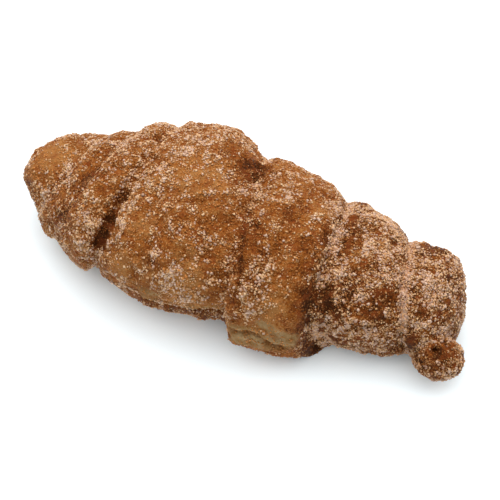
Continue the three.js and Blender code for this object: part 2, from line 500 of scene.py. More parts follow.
    def point(self, x: Array, angle: Array) -> Array:
        """Points of the dough's surface.

        Args:
            x: Places along the roll.
            angle: Angles round it from +Z towards -Y.

        Returns:
            One point a row.
        """
        width, height, _ = self.section(x)
        middle_y, middle_z = self.middle(x)
        radius = self.radius(x, angle)
        on_section = np.stack([x, -radius * np.sin(angle), radius * np.cos(angle)], axis=1)
        fade = np.clip(np.minimum(width, height) / self.end_fade, 0, 1)
        relief = self.allowance + self.winding(x, angle) + layered(self.lumps, on_section)
        reach = radius + fade * (relief - self.front_cuts(x, angle, radius))
        return np.stack([x, middle_y - reach * np.sin(angle), middle_z + reach * np.cos(angle)], axis=1)

    def angle_of(self, points: Array) -> Array:
        """The angle round the roll at which points lie."""
        middle_y, middle_z = self.middle(points[:, 0])
        return np.arctan2(middle_y - points[:, 1], points[:, 2] - middle_z)


# ---------------------------------------------------------------- places with a look of their own


@dataclass(frozen=True)
class Look:
    """What a place adds to the crust's own look there. height is in millimetres, the rest are shares of 1."""

    browning_and_shade: float = 0.0
    sugar: float = 0.0
    pale: float = 0.0
    smoothness: float = 0.0
    height: float = 0.0


@dataclass(frozen=True)
class Place:
    """A soft-edged place on the roll, at x and at degrees from the top towards the front."""

    x: float
    angle: float
    along: float
    around: float
    look: Look

    def near(self, points: Array, dough: Dough) -> Array:
        """How near points are to the place.

        Args:
            points: Points in millimetres.
            dough: The roll that the place is on.

        Returns:
            From 1 in the place's middle to 0 away from it.
        """
        middle = dough.point(np.array([self.x]), np.radians([self.angle]))[0]
        offset = points - middle
        across = np.hypot(offset[:, 1], offset[:, 2])
        return bump(np.hypot(offset[:, 0] / self.along, across / self.around), 1.0)


@dataclass(frozen=True)
class KnobPlace:
    """A round place on the knob, at degrees of turn from the front towards +X and of rise."""

    turn: float
    rise: float
    size: float
    look: Look

    def near(self, points: Array, dough: Dough) -> Array:
        """How near points are to the place.

        Args:
            points: Points in millimetres.
            dough: The roll that the knob belongs to.

        Returns:
            From 1 in the place's middle to 0 away from it.
        """
        turn, rise = math.radians(self.turn), math.radians(self.rise)
        way = np.array([math.sin(turn) * math.cos(rise), -math.cos(turn) * math.cos(rise), math.sin(rise)])
        middle = np.array(dough.knob_centre) + np.array(dough.knob_radii) * way
        return bump(np.linalg.norm(points - middle, axis=1), self.size)


@dataclass(frozen=True)
class Line:
    """A line on the crust, such as a crack or an edge, through places along the roll and their degrees."""

    route: tuple[Span, ...]
    width: float
    look: Look

    def near(self, points: Array, dough: Dough) -> Array:
        """How near points are to the line.

        Args:
            points: Points in millimetres.
            dough: The roll that the line is on.

        Returns:
            From 1 on the line to 0 away from it.
        """
        x, angle = np.array(self.route, float).T
        corners = dough.point(x, np.radians(angle))
        away = np.full(len(points), np.inf)
        for start, end in zip(corners[:-1], corners[1:]):
            along = end - start
            share = np.clip((points - start) @ along / (along @ along), 0, 1)
            away = np.minimum(away, np.linalg.norm(points - start - share[:, None] * along, axis=1))
        return bump(away, self.width)


BARE = Look(sugar=-0.35)
SUGARED = Look(sugar=0.35)
THICK_SUGAR = Look(sugar=0.6)
GOLDEN = Look(browning_and_shade=-0.3)
BROWNER = Look(browning_and_shade=0.3)
BROWN_AND_BARE = Look(browning_and_shade=0.3, sugar=-0.4)
GLOSSY = Look(browning_and_shade=0.2, sugar=-0.7, smoothness=0.8)
PALE = Look(browning_and_shade=-0.1, sugar=-0.4, pale=0.9)

BULB = (
    Place(-66, 15, 9, 9, Look(sugar=-0.2, smoothness=0.8)),
    Place(-65, 5, 7, 5, GOLDEN),
    Place(-69, 19, 5, 7, GOLDEN),
    Place(-53, 56, 7, 7, Look(browning_and_shade=0.05, sugar=-0.35)),
    Place(-49, 23, 3, 3, BROWN_AND_BARE),
    Place(-55, 70, 3, 4, BROWNER),
    Place(-56, 38, 3, 3, Look(sugar=0.15)),
    Place(-44, 58, 5, 3, SUGARED),
    Place(-42, 80, 4, 3, SUGARED),
    Place(-43, -25, 2, 3, THICK_SUGAR),
    Place(-36, -47, 7, 5, Look(browning_and_shade=-0.1, sugar=0.3)),
)
DEEP_CREASE = (
    # painted shade: the first two lines darken the deep crease's crust as well as sinking it a little; the
    # last two are sugar on its rims
    Line(((-35, 30), (-36, 40), (-37, 54)), 1.1, Look(browning_and_shade=0.35, sugar=-0.45, height=-0.2)),
    Line(((-37, 56), (-38, 64), (-39, 76)), 2.1, Look(browning_and_shade=0.5, sugar=-0.7, height=-0.3)),
    Line(((-28, 26), (-31, 39), (-32, 51), (-32, 60)), 1.0, Look(browning_and_shade=-0.1, sugar=0.45, height=0.2)),
    Line(((-39, 36), (-42, 56), (-43, 68)), 1.0, Look(sugar=0.25, height=0.1)),
)
WIDE_TURN = (
    Place(-27, 48, 4, 4, Look(browning_and_shade=-0.3, sugar=-0.2, smoothness=0.4)),
    Place(-24, 60, 3, 4, BARE),
    Place(-20, 22, 3, 3, Look(browning_and_shade=-0.25)),
    Place(-11, 22, 3, 3, Look(browning_and_shade=-0.25)),
    Place(-24, 10, 3, 3, Look(browning_and_shade=-0.25, sugar=0.25)),
    Place(-16, -8, 8, 5, GOLDEN),
    Place(-12, -27, 2, 3, SUGARED),
    Place(-19, -30, 5, 6, Look(sugar=0.25)),
    Place(-7, 5, 5, 3, GOLDEN),
    Place(-7, 38, 4, 3, Look(browning_and_shade=0.1, sugar=-0.3)),
    Place(-2, -38, 4, 3, BROWN_AND_BARE),
    Place(-3, 28, 5, 3, BARE),
    Place(-18, 63, 2, 2, THICK_SUGAR),
    Place(-12, 70, 2, 2, THICK_SUGAR),
    Place(-17, 69, 3, 2, BROWN_AND_BARE),
    Place(-8, 76, 5, 4, GOLDEN),
    Place(-13, 78, 6, 4, Look(browning_and_shade=-0.2, sugar=0.2)),
    Place(-28, 80, 5, 6, Look(browning_and_shade=-0.35, sugar=0.15)),
    # partly pale dough, partly painted light: lighter crust on the lower front faces, against the lamps'
    # shade there
    Place(-7, 88, 7, 7, Look(browning_and_shade=-0.4, pale=0.2)),
    Place(3, 76, 3, 3, GOLDEN),
    Place(-9, 65, 4, 4, GOLDEN),
    Place(8, 74, 3, 3, BROWN_AND_BARE),
    Place(-20, 91, 6, 2, Look(browning_and_shade=-0.1, sugar=-0.2, pale=0.7)),
)
MIDDLE_SEAM = (
    # painted shade: a dark line along the middle seam's crease, which is also sunk in
    Line(((3, 13), (4, 34), (7, 51), (9, 66)), 0.9, Look(browning_and_shade=0.35, sugar=-0.3, height=-0.6)),
    Place(5, 50, 6, 10, Look(browning_and_shade=0.1, sugar=-0.25)),
    Place(-4, -38, 4, 6, Look(browning_and_shade=0.15, sugar=-0.2)),
    Place(-2, -21, 4, 7, Look(browning_and_shade=0.3, sugar=-0.25)),
    Place(11, -12, 3, 6, Look(sugar=0.2)),
    Place(14, -6, 4, 8, Look(browning_and_shade=0.15, sugar=-0.15)),
    Place(7, 24, 3, 5, Look(browning_and_shade=0.2, sugar=-0.2)),
)
SECOND_TURN = (
    Place(14, 50, 3, 3, SUGARED),
    Place(15, 61, 5, 2, BROWNER),
    Place(12, 73, 2, 5, SUGARED),
    Place(19, 56, 4, 4, Look(browning_and_shade=-0.2, sugar=-0.25)),
    Place(26, 73, 6, 6, GLOSSY),
    Place(28, 54, 3, 4, BARE),
    Place(23, 25, 3, 3, Look(browning_and_shade=0.15, sugar=-0.4)),
    Place(18, 73, 4, 4, Look(browning_and_shade=-0.5, sugar=0.15, pale=0.12)),
    Line(((26, -24), (28, -10), (29, 4)), 1.4, SUGARED),
    Place(21, -19, 4, 4, GOLDEN),
    Place(34, 59, 4, 6, BROWNER),
    Place(36, 52, 3, 3, SUGARED),
    Place(38, 80, 6, 3, SUGARED),
    Place(33, 106, 3, 3, SUGARED),
    Place(30, 114, 2, 3, Look(browning_and_shade=0.6, sugar=-0.3)),
    Place(31, 122, 3, 4, Look(browning_and_shade=0.4, sugar=-0.3)),
    Place(10, 101, 4, 3, PALE),
    # partly pale dough, partly painted light: lighter crust on the lower front faces, against the lamps'
    # shade there
    Place(11, 97, 5, 6, Look(browning_and_shade=-0.5, sugar=-0.2, pale=0.4)),
    Place(24, 66, 4, 8, Look(browning_and_shade=-0.15)),
    Place(20, -41, 4, 4, BARE),
    Place(17, 99, 6, 4, PALE),
    Place(25, 91, 4, 4, PALE),
    Line(((17, 82), (22, 85), (26, 90)), 1.6, PALE),
)
THIRD_TURN = (
    Place(42, -9, 6, 4, Look(browning_and_shade=-0.25, sugar=0.3)),
    Place(42, 64, 7, 8, Look(browning_and_shade=0.12, sugar=-0.2)),
    Place(46, 18, 4, 2, SUGARED),
    Place(47, 58, 3, 4, Look(browning_and_shade=0.1, sugar=-0.25)),
    Place(50, 46, 3, 5, Look(browning_and_shade=-0.15, sugar=-0.25)),
    Place(47, 36, 4, 3, Look(browning_and_shade=-0.05, sugar=-0.25)),
    Line(((49, -33), (52, 13), (54, 47), (56, 72)), 1.0, Look(sugar=0.3, height=-0.2)),
    Place(59, 36, 3, 4, Look(browning_and_shade=0.12, sugar=-0.25)),
    Place(33, 14, 2, 3, BARE),
    Place(31, 61, 3, 5, Look(browning_and_shade=0.25, sugar=-0.5)),
    Place(37, 13, 4, 4, Look(browning_and_shade=-0.3, sugar=0.15)),
    Place(44, 48, 4, 4, Look(sugar=-0.2, smoothness=0.5)),
    Place(42, 66, 4, 4, Look(browning_and_shade=-0.2, sugar=0.15)),
    Place(39, -42, 5, 4, SUGARED),
    Place(60, 50, 4, 4, Look(sugar=0.2)),
    Place(52, 92, 4, 3, Look(sugar=0.2)),
    Place(62, 5, 5, 6, SUGARED),
    Place(56, -50, 6, 6, Look(browning_and_shade=0.15, sugar=-0.25)),
    Place(58, 76, 3, 4, Look(browning_and_shade=0.5, sugar=-0.5)),
)
KNOB = (
    KnobPlace(5, 45, 8.0, Look(browning_and_shade=-0.04, sugar=-0.22)),
    KnobPlace(-170, 55, 3.0, THICK_SUGAR),
    KnobPlace(-80, 45, 3.0, SUGARED),
)


@dataclass(frozen=True)
class Looks:
    """The crust's look, summed over all its places."""

    places: tuple[Place | KnobPlace | Line, ...] = (
        BULB + DEEP_CREASE + WIDE_TURN + MIDDLE_SEAM + SECOND_TURN + THIRD_TURN + KNOB
    )
    # painted shade: the pinhole's pit is painted the darkest brown as well as sunk in
    pinhole: KnobPlace = KnobPlace(-19, 69, 1.15, Look(browning_and_shade=1.0, sugar=-1.2, height=-2.8))

    def on(self, points: Array, dough: Dough) -> Look:
        """What all places together add.

        Args:
            points: Points in millimetres.
            dough: The roll that the places are on.

        Returns:
            A look whose every value is an array, with one number for each point.
        """
        places = (*self.places, self.pinhole)
        near = [place.near(points, dough) for place in places]
        added = {
            name: sum(getattr(place.look, name) * share for place, share in zip(places, near))
            for name in ("browning_and_shade", "sugar", "pale", "smoothness", "height")
        }
        return Look(**added)


# ---------------------------------------------------------------- what is painted on the skin


@dataclass(frozen=True)
class Edges:
    """Where points of the skin lie beside the seams and the fold.

    seam is the distance outwards from the nearest seam. The rest are from 0 to 1: lip, slot and under are the
    fold's parts, left is the bulb's side of the roll, and blunt is the blunt end's turns.
    """

    seam: Array
    lip: Array
    slot: Array
    under: Array
    left: Array
    blunt: Array

    def crease(self, width: float) -> Array:
        """How near each point is to a seam, from 1 in it to 0 away from it."""
        return np.exp(-np.abs(self.seam) / width)


@dataclass(frozen=True)
class BrowningAndShade:
    """How brown the crust is, painted shade included: a middle value, two sizes of patches, and what each
    edge and hollow adds, where the darkening of creases, crag valleys, the fold's slot and the place under
    its lip is painted shade.
    """

    middle: float = 0.45
    patches: tuple[Lumps, ...] = (Lumps(13, 0.08, 1.0, 51), Lumps(5, 0.17, 1.0, 52))
    # partly painted shade: crust darker in the valleys between crags and lighter on their tops
    crag: float = -0.3
    # painted shade: darker crust along the seams' creases
    crease: float = 0.26
    lip: float = -0.3
    # painted shade: the fold's slot is darker, more so on the bulb's side, and so is the place under the
    # fold's lip on that side
    slot: float = 0.25
    left_slot: float = 0.35
    left_under: float = 0.35
    blunt: float = 0.36
    # painted shade: darker crust along the seams of the blunt end's turns
    blunt_seam: float = 0.3
    blunt_seam_width: float = 0.7

    def on(self, points: Array, edges: Edges, crease: Array, crag: Array, look: Look) -> Array:
        """How brown each point is, with the painted shade of its creases and hollows.

        Args:
            points: Points of the skin.
            edges: Where they lie beside the seams and the fold.
            crease: How near they are to a seam.
            crag: How high the crags stand there.
            look: What the places add there.

        Returns:
            About 0 for golden to 1 for dark.
        """
        browning_and_shade = self.middle + layered(self.patches, points) + self.crease * crease
        browning_and_shade += self.crag * crag + look.browning_and_shade + self.lip * edges.lip
        browning_and_shade += edges.slot * (self.slot + self.left_slot * edges.left)
        browning_and_shade += self.left_under * edges.under * edges.left
        seam = bump(edges.seam, self.blunt_seam_width)
        return browning_and_shade + edges.blunt * (self.blunt + self.blunt_seam * seam)


@dataclass(frozen=True)
class Paleness:
    """Where the fat barely reached the dough: named places and the fold's lip, with ragged edges."""

    rags: tuple[Lumps, ...] = (Lumps(5.0, 0.35, 2.0, 41), Lumps(2.0, 0.2, 2.0, 42))
    ragged: Span = (0.05, 0.4)
    edge: Span = (0.12, 0.9)
    lip: float = 0.6
    slot: float = -0.2
    left_slot: float = -0.4
    left_under: float = -0.3

    def on(self, points: Array, edges: Edges, look: Look) -> Array:
        """How pale each point is.

        Args:
            points: Points of the skin.
            edges: Where they lie beside the fold.
            look: What the places add there.

        Returns:
            From 0 for fried crust to 1 for pale dough.
        """
        pale = look.pale + self.lip * edges.lip + edges.slot * (self.slot + self.left_slot * edges.left)
        pale += self.left_under * edges.under * edges.left
        return smooth(*self.edge, pale + layered(self.rags, points) * smooth(*self.ragged, pale))


@dataclass(frozen=True)
class SugarCover:
    """How much sugar lies on the crust: a middle value, patches of four sizes, and what each edge holds."""

    middle: float = 0.26
    patches: tuple[Lumps, ...] = (
        Lumps(10, 0.12, 4.0, 61),
        Lumps(4.2, 0.14, 4.0, 62),
        Lumps(2.0, 0.24, 4.0, 63),
        Lumps(1.2, 0.4, 4.0, 64),
    )
    blunt: float = 0.14
    blunt_patches: Lumps = Lumps(4.2, 0.12, 4.0, 62)
    blunt_rim: float = 0.35
    rim_outwards: float = 1.1
    rim_width: float = 0.9
    crease: float = 0.2
    left_lip: float = 0.5
    slot: float = -0.6
    pale: float = -0.5
    limits: Span = (0.02, 1.2)
    underside: Span = (6.0, 1.0)
    lost_underneath: float = 0.6

    def on(self, points: Array, edges: Edges, crease: Array, pale: Array, look: Look) -> Array:
        """How much sugar lies on each point.

        Args:
            points: Points of the skin.
            edges: Where they lie beside the seams and the fold.
            crease: How near they are to a seam.
            pale: How pale they are.
            look: What the places add there.

        Returns:
            About 0 for bare crust to 1 for a thick cover.
        """
        rim = bump(edges.seam - self.rim_outwards, self.rim_width)
        sugar = self.middle + layered(self.patches, points) + look.sugar + self.crease * crease
        sugar += edges.blunt * (self.blunt + self.blunt_patches.at(points) + self.blunt_rim * rim)
        sugar += self.pale * pale + self.left_lip * edges.lip * edges.left + self.slot * edges.slot
        kept = 1 - self.lost_underneath * smooth(*self.underside, points[:, 2])
        return np.clip(sugar, *self.limits) * kept


# ---------------------------------------------------------------- the skin


@dataclass
class Skin:
    """The pastry's crust: a closed mesh of roll and knob with its fine relief, and what is painted on it."""

    dough: Dough
    looks: Looks
    along_segments: int = 420
    around_segments: int = 300
    knob_segments: int = 48
    merge_distance: float = 1e-7
    voxel: float = 0.58
    inset: float = 0.5
    floor_fade: Span = (0.2, 3.0)
    crags: tuple[Lumps, ...] = (Lumps(4.6, 0.42, 0.7, 21), Lumps(2.4, 0.3, 0.7, 22), Lumps(1.3, 0.2, 0.7, 23))
    blister_size: float = 3.4
    blister_height: float = 0.8
    blister_seed: float = 31
    smoothing: float = 0.75
    crease_depth: float = 0.7
    crease_width: float = 0.9
    # how far a seam's painted shade and its extra sugar spread from the crease
    crease_shade_and_sugar_width: float = 1.6
    left_side: Span = (7.0, 0.0)
    blunt_end: Span = (20.0, 34.0)
    blunt_crease_depth: float = 0.6
    blunt_crease_width: float = 0.8
    fold_run_out: float = 2.0
    lip_height: float = 0.7
    lip_above: float = 1.7
    lip_width: float = 1.0
    slot_depth: float = 1.2
    slot_width: float = 0.7
    under_start: Span = (0.5, 1.5)
    under_end: Span = (9.0, 6.0)
    browning_and_shade_rule: BrowningAndShade = BrowningAndShade()
    paleness_rule: Paleness = Paleness()
    sugar_rule: SugarCover = SugarCover()
    pale_browning: float = -0.3
    piece: bpy.types.Object = field(init=False)
    points: Array = field(init=False)
    normals: Array = field(init=False)
    sugar: Array = field(init=False)
    browning_and_shade: Array = field(init=False)
    shift: Array = field(init=False)

    def rough_shape(self) -> bpy.types.Object:
        """Models the roll and the knob as two closed shapes in one mesh, in metres.

        Returns:
            Their object.
        """
        shape = bmesh.new()
        bmesh.ops.create_grid(
            shape, x_segments=self.along_segments, y_segments=self.around_segments, size=1.0
        )
        sheet = np.array([vert.co[:] for vert in shape.verts])
        share = 0.5 + 0.5 * np.sin(sheet[:, 0] * np.pi / 2)
        x = self.dough.left_tip + (self.dough.right_tip - self.dough.left_tip) * share
        surface = self.dough.point(x, sheet[:, 1] * np.pi)
        for vert, place in zip(shape.verts, surface * MM):
            vert.co = place
        bmesh.ops.remove_doubles(shape, verts=shape.verts, dist=self.merge_distance)
        bmesh.ops.recalc_face_normals(shape, faces=shape.faces)
        knob = bmesh.ops.create_uvsphere(
            shape, u_segments=self.knob_segments, v_segments=self.knob_segments // 2, radius=1.0
        )
        bmesh.ops.scale(shape, verts=knob["verts"], vec=Vector(self.dough.knob_radii) * MM)
        bmesh.ops.translate(shape, verts=knob["verts"], vec=Vector(self.dough.knob_centre) * MM)
        for vert in shape.verts:
            vert.co.z = max(vert.co.z, 0.0)
        mesh = bpy.data.meshes.new("rough_dough")
        shape.to_mesh(mesh)
        shape.free()
        return put_in_scene("rough_dough", mesh)

    def fused(self) -> bpy.types.Mesh:
        """Remeshes the rough shape into one even skin.

        Returns:
            The skin's mesh.
        """
        rough = self.rough_shape()
        remesh = rough.modifiers.new("fuse", "REMESH")
        remesh.mode = "VOXEL"
        remesh.voxel_size = self.voxel * MM
        remesh.adaptivity = 0.0
        view = bpy.context.evaluated_depsgraph_get()
        mesh = bpy.data.meshes.new_from_object(rough.evaluated_get(view))
        bpy.data.objects.remove(rough, do_unlink=True)
        return mesh

    @staticmethod
    def vertex_arrays(mesh: bpy.types.Mesh) -> tuple[Array, Array]:
        """Reads a mesh's points and normals.

        Args:
            mesh: The mesh.

        Returns:
            Its points in millimetres and its vertex normals, one a row.
        """
        points = np.empty(len(mesh.vertices) * 3)
        mesh.vertices.foreach_get("co", points)
        normals = np.empty(len(mesh.vertices) * 3)
        mesh.vertex_normals.foreach_get("vector", normals)
        return points.reshape(-1, 3) / MM, normals.reshape(-1, 3)

    def edges(self, points: Array, angle: Array) -> Edges:
        """Where points lie beside the seams and the fold.

        Args:
            points: Points on the roll.
            angle: Their angles round it.

        Returns:
            The edges and hollows that they belong to.
        """
        x = points[:, 0]
        below = self.dough.below_fold(x, angle, self.dough.radius(x, angle))
        there = bump(self.dough.past_fold(x), self.fold_run_out)
        return Edges(
            seam=self.dough.seam_distance(x, angle),
            lip=there * bump(below + self.lip_above, self.lip_width),
            slot=there * bump(below, self.slot_width),
            under=there * smooth(*self.under_start, below) * smooth(*self.under_end, below),
            left=smooth(*self.left_side, x),
            blunt=smooth(*self.blunt_end, x),
        )

    def relief(self, points: Array, angle: Array, look: Look) -> tuple[Array, Array]:
        """The crust's fine relief.

        Args:
            points: The fused skin's points.
            angle: Their angles round the roll.
            look: What the places add at these points.

        Returns:
            How far each point moves along its normal, and how high its crags and blisters stand.
        """
        edges = self.edges(points, angle)
        rough = 1 - self.smoothing * np.clip(look.smoothness, 0, 1)
        crag = layered(self.crags, points)
        crag += self.blister_height * (blisters(points, self.blister_size, self.blister_seed) - 0.5)
        crease = self.crease_depth * edges.crease(self.crease_width)
        crease += self.blunt_crease_depth * edges.blunt * bump(edges.seam, self.blunt_crease_width)
        fold = self.lip_height * edges.lip - self.slot_depth * edges.slot
        move = rough * crag - crease + look.height + fold - self.inset
        return smooth(*self.floor_fade, points[:, 2]) * move, crag

    def paint(self, mesh: bpy.types.Mesh, angle: Array, crag: Array, look: Look) -> None:
        """Writes each point's browning with its painted shade, paleness and sugar into mesh attributes.

        Args:
            mesh: The finished skin mesh.
            angle: The points' angles round the roll.
            crag: How high each point's crag stands.
            look: What the places add at the points.
        """
        edges = self.edges(self.points, angle)
        crease = edges.crease(self.crease_shade_and_sugar_width)
        browning_and_shade = self.browning_and_shade_rule.on(self.points, edges, crease, crag, look)
        pale = self.paleness_rule.on(self.points, edges, look)
        self.sugar = self.sugar_rule.on(self.points, edges, crease, pale, look)
        self.browning_and_shade = np.clip(browning_and_shade + self.pale_browning * pale, 0, 1)
        for name, values in (("browning_and_shade", browning_and_shade), ("pale", pale), ("sugar", self.sugar)):
            write_attribute(mesh, name, np.clip(values, 0, 1))

    def build(self) -> bpy.types.Object:
        """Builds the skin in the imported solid's place.

        Returns:
            The skin's object.
        """
        mesh = self.fused()
        points, normals = self.vertex_arrays(mesh)
        angle = self.dough.angle_of(points)
        look = self.looks.on(points, self.dough)
        move, crag = self.relief(points, angle, look)
        self.points = points + normals * move[:, None]
        self.points[:, 2] = np.maximum(self.points[:, 2], 0)
        self.paint(mesh, angle, crag, look)
        low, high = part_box(NODE)
        packed_middle = (np.array(low) + np.array(high)) / 2 / MM
        own_middle = (points.min(axis=0) + points.max(axis=0)) / 2
        self.shift = (packed_middle - own_middle) * np.array([1, 1, 0])
        mesh.vertices.foreach_set("co", ((self.points + self.shift) * MM).ravel())
        mesh.polygons.foreach_set("use_smooth", np.ones(len(mesh.polygons), bool))
        mesh.update()
        _, self.normals = self.vertex_arrays(mesh)
        mesh.name = "crust"
        self.piece = put_in_scene("crust", mesh)
        return self.piece


# ---------------------------------------------------------------- sugar


class GrainShape(Enum):
    """What a grain starts from."""

    CRYSTAL = "crystal"
    CLUMP = "clump"


@dataclass(frozen=True)
class GrainKind:
    """One kind of sugar on the crust.

    smallest and largest are sizes in millimetres. flatness is how much of a grain's height is left, and
    standing is how far its middle lies off the skin, in grain sizes. liking is how strongly it gathers where
    the crust holds sugar, and fat_and_see_through_tint is how much its tint follows the crust's, partly fat
    soaked in and partly painted see-through colour of the crust beneath. at_blunt_end is how many lie
    on the blunt end's turns, against the rest.
    """

    name: str
    shape: GrainShape
    count: int
    smallest: float
    largest: float
    flatness: float
    standing: float
    liking: float
    # partly fat soaked in, partly painted see-through colour: how much a grain's tint follows the crust
    # beneath
    fat_and_see_through_tint: float
    seed: int
    finish: "SugarFinish"
    at_blunt_end: float = 1.0


@dataclass
class Sugar:
    """The grains of one kind, as one joined mesh that lies on the skin."""

    kind: GrainKind
    skin: Skin
    templates: int = 12
    crystal_radii: Span = (0.55, 0.4)
    crystal_height: float = 0.75
    crystal_wobble: float = 0.13
    clump_side: float = 0.8
    clump_wobble: float = 0.2
    stretch: Span = (0.6, 1.35)
    clear_of_floor: Span = (0.5, 1.2)
    floor_gap: float = 0.05

    def template(self, rng: np.random.Generator) -> tuple[Array, Array]:
        """One grain about 1 across.

        Args:
            rng: The kind's own random numbers.

        Returns:
            Its points and its triangles.
        """
        grain = bmesh.new()
        if self.kind.shape is GrainShape.CRYSTAL:
            foot, head = self.crystal_radii
            bmesh.ops.create_cone(
                grain, cap_ends=True, segments=3, radius1=foot, radius2=head, depth=self.crystal_height
            )
            wobble = self.crystal_wobble
        else:
            bmesh.ops.create_cube(grain, size=self.clump_side)
            wobble = self.clump_wobble
        for vert in grain.verts:
            vert.co += Vector(rng.uniform(-wobble, wobble, 3))
        bmesh.ops.scale(grain, verts=grain.verts, vec=Vector(rng.uniform(*self.stretch, 3)))
        bmesh.ops.triangulate(grain, faces=grain.faces)
        bmesh.ops.recalc_face_normals(grain, faces=grain.faces)
        points = np.array([vert.co[:] for vert in grain.verts])
        triangles = np.array([[vert.index for vert in face.verts] for face in grain.faces])
        grain.free()
        return points, triangles

    def places(self, rng: np.random.Generator) -> tuple[Array, Array, Array]:
        """Where the grains lie: more of them where the crust holds more sugar.

        Args:
            rng: The kind's own random numbers.

        Returns:
            Points on the skin in millimetres, the skin's normals there, and how brown it is there, painted
            shade included.
        """
        mesh = self.skin.piece.data
        mesh.calc_loop_triangles()
        corners = np.empty(len(mesh.loop_triangles) * 3, int)
        mesh.loop_triangles.foreach_get("vertices", corners)
        corners = corners.reshape(-1, 3)
        points = self.skin.points[corners]
        area = np.linalg.norm(np.cross(points[:, 1] - points[:, 0], points[:, 2] - points[:, 0]), axis=1) / 2
        liked = self.skin.sugar[corners].mean(axis=1) ** self.kind.liking
        clear = smooth(*self.clear_of_floor, points[:, :, 2].mean(axis=1))
        blunt = smooth(*self.skin.blunt_end, points[:, :, 0].mean(axis=1))
        weight = area * liked * clear * (1 + (self.kind.at_blunt_end - 1) * blunt)
        chosen = rng.choice(len(corners), self.kind.count, p=weight / weight.sum())
        share = rng.dirichlet((1, 1, 1), self.kind.count)
        at = np.einsum("nk,nkc->nc", share, points[chosen])
        normal = np.einsum("nk,nkc->nc", share, self.skin.normals[corners[chosen]])
        brown = np.einsum("nk,nk->n", share, self.skin.browning_and_shade[corners[chosen]])
        return at, normal / np.linalg.norm(normal, axis=1, keepdims=True), brown

    @staticmethod
    def random_turns(count: int, rng: np.random.Generator) -> Array:
        """Rotations, evenly spread over all directions.

        Args:
            count: How many.
            rng: The kind's own random numbers.

        Returns:
            One rotation matrix each.
        """
        w, x, y, z = np.moveaxis(rng.normal(size=(count, 4)), 1, 0)
        length = np.sqrt(w * w + x * x + y * y + z * z)
        w, x, y, z = w / length, x / length, y / length, z / length
        rows = (
            (1 - 2 * (y * y + z * z), 2 * (x * y - z * w), 2 * (x * z + y * w)),
            (2 * (x * y + z * w), 1 - 2 * (x * x + z * z), 2 * (y * z - x * w)),
            (2 * (x * z - y * w), 2 * (y * z + x * w), 1 - 2 * (x * x + y * y)),
        )
        return np.stack([np.stack(row, axis=1) for row in rows], axis=1)

    def joined(self, points: Array, triangles: Array, tint: Array) -> bpy.types.Object:
        """Joins all grains in one mesh.

        Args:
            points: Their points in millimetres, one a row.
            triangles: Their triangles, one a row.
            tint: How tinted each point is, from 0 to 1.

        Returns:
            The grains' object.
        """
        mesh = bpy.data.meshes.new(self.kind.name)
        mesh.vertices.add(len(points))
        mesh.vertices.foreach_set("co", (points * MM).ravel())
        mesh.loops.add(triangles.size)
        mesh.loops.foreach_set("vertex_index", triangles.ravel())
        mesh.polygons.add(len(triangles))
        mesh.polygons.foreach_set("loop_start", np.arange(len(triangles)) * 3)
        write_attribute(mesh, "tint", tint)
        mesh.update(calc_edges=True)
        mesh.validate()
        return put_in_scene(self.kind.name, mesh)

    def build(self) -> bpy.types.Object:
        """Builds the joined mesh of all grains.

        Returns:
            The grains' object.
        """
        kind = self.kind
        rng = np.random.default_rng(kind.seed)
        shapes = [self.template(rng) for _ in range(self.templates)]
        shape_points = np.stack([points for points, _ in shapes])
        shape_triangles = np.stack([triangles for _, triangles in shapes])
        at, normal, brown = self.places(rng)
        which = rng.integers(self.templates, size=kind.count)
        size = kind.smallest + (kind.largest - kind.smallest) * rng.uniform(0, 1, kind.count) ** 2
        turned = np.einsum("nij,nkj->nki", self.random_turns(kind.count, rng), shape_points[which])
        upwards = np.einsum("nki,ni->nk", turned, normal)
        turned -= upwards[:, :, None] * normal[:, None, :] * (1 - kind.flatness)
        centre = at + normal * (size * kind.standing)[:, None]
        points = centre[:, None, :] + turned * size[:, None, None]
        points[:, :, 2] = np.maximum(points[:, :, 2], self.floor_gap)
        per_grain = shape_points.shape[1]
        triangles = shape_triangles[which] + (np.arange(kind.count) * per_grain)[:, None, None]
        # partly fat soaked in, partly painted see-through colour: each grain's tint leans towards the crust's
        # under it
        own = rng.uniform(0, 1, kind.count)
        tint = np.repeat(own + (brown - own) * kind.fat_and_see_through_tint, per_grain)
        return self.joined(points.reshape(-1, 3) + self.skin.shift, triangles.reshape(-1, 3), tint)


# ---------------------------------------------------------------- shader expressions


@dataclass(frozen=True)
class Pattern:
    """A noise: the size of its features in millimetres, its detail and roughness, and its share."""

    size: float
    detail: float
    roughness: float = 0.5
    share: float = 1.0


@dataclass(frozen=True)
class Value:
    """A number socket in a shader expression: each operator adds the Math node that it stands for."""

    graph: "Graph"
    socket: bpy.types.NodeSocket

    def math(self, operation: str, first: "Value | float", second: "Value | float" = 0.0) -> "Value":
        """The result of one Math node."""
        node = self.graph.node("ShaderNodeMath", {"operation": operation}, {0: first, 1: second})
        return Value(self.graph, node.outputs[0])

    def __add__(self, other: "Value | float") -> "Value":
        """self + other."""
        return self.math("ADD", self, other)

    __radd__ = __add__

    def __sub__(self, other: "Value | float") -> "Value":
        """self - other."""
        return self.math("SUBTRACT", self, other)

    def __rsub__(self, other: "Value | float") -> "Value":
        """other - self."""
        return self.math("SUBTRACT", other, self)

    def __mul__(self, other: "Value | float") -> "Value":
        """self * other."""
        return self.math("MULTIPLY", self, other)

    __rmul__ = __mul__

    def ranged(self, start: float, end: float) -> "Value":
        """A soft step over a range of the value.

        Args:
            start: Where the step is 0.
            end: Where it is 1.

        Returns:
            From 0 to 1.
        """
        node = self.graph.node(
            "ShaderNodeMapRange",
            {"interpolation_type": "SMOOTHSTEP", "clamp": True},
            {"Value": self, "From Min": start, "From Max": end},
        )
        return Value(self.graph, node.outputs[0])


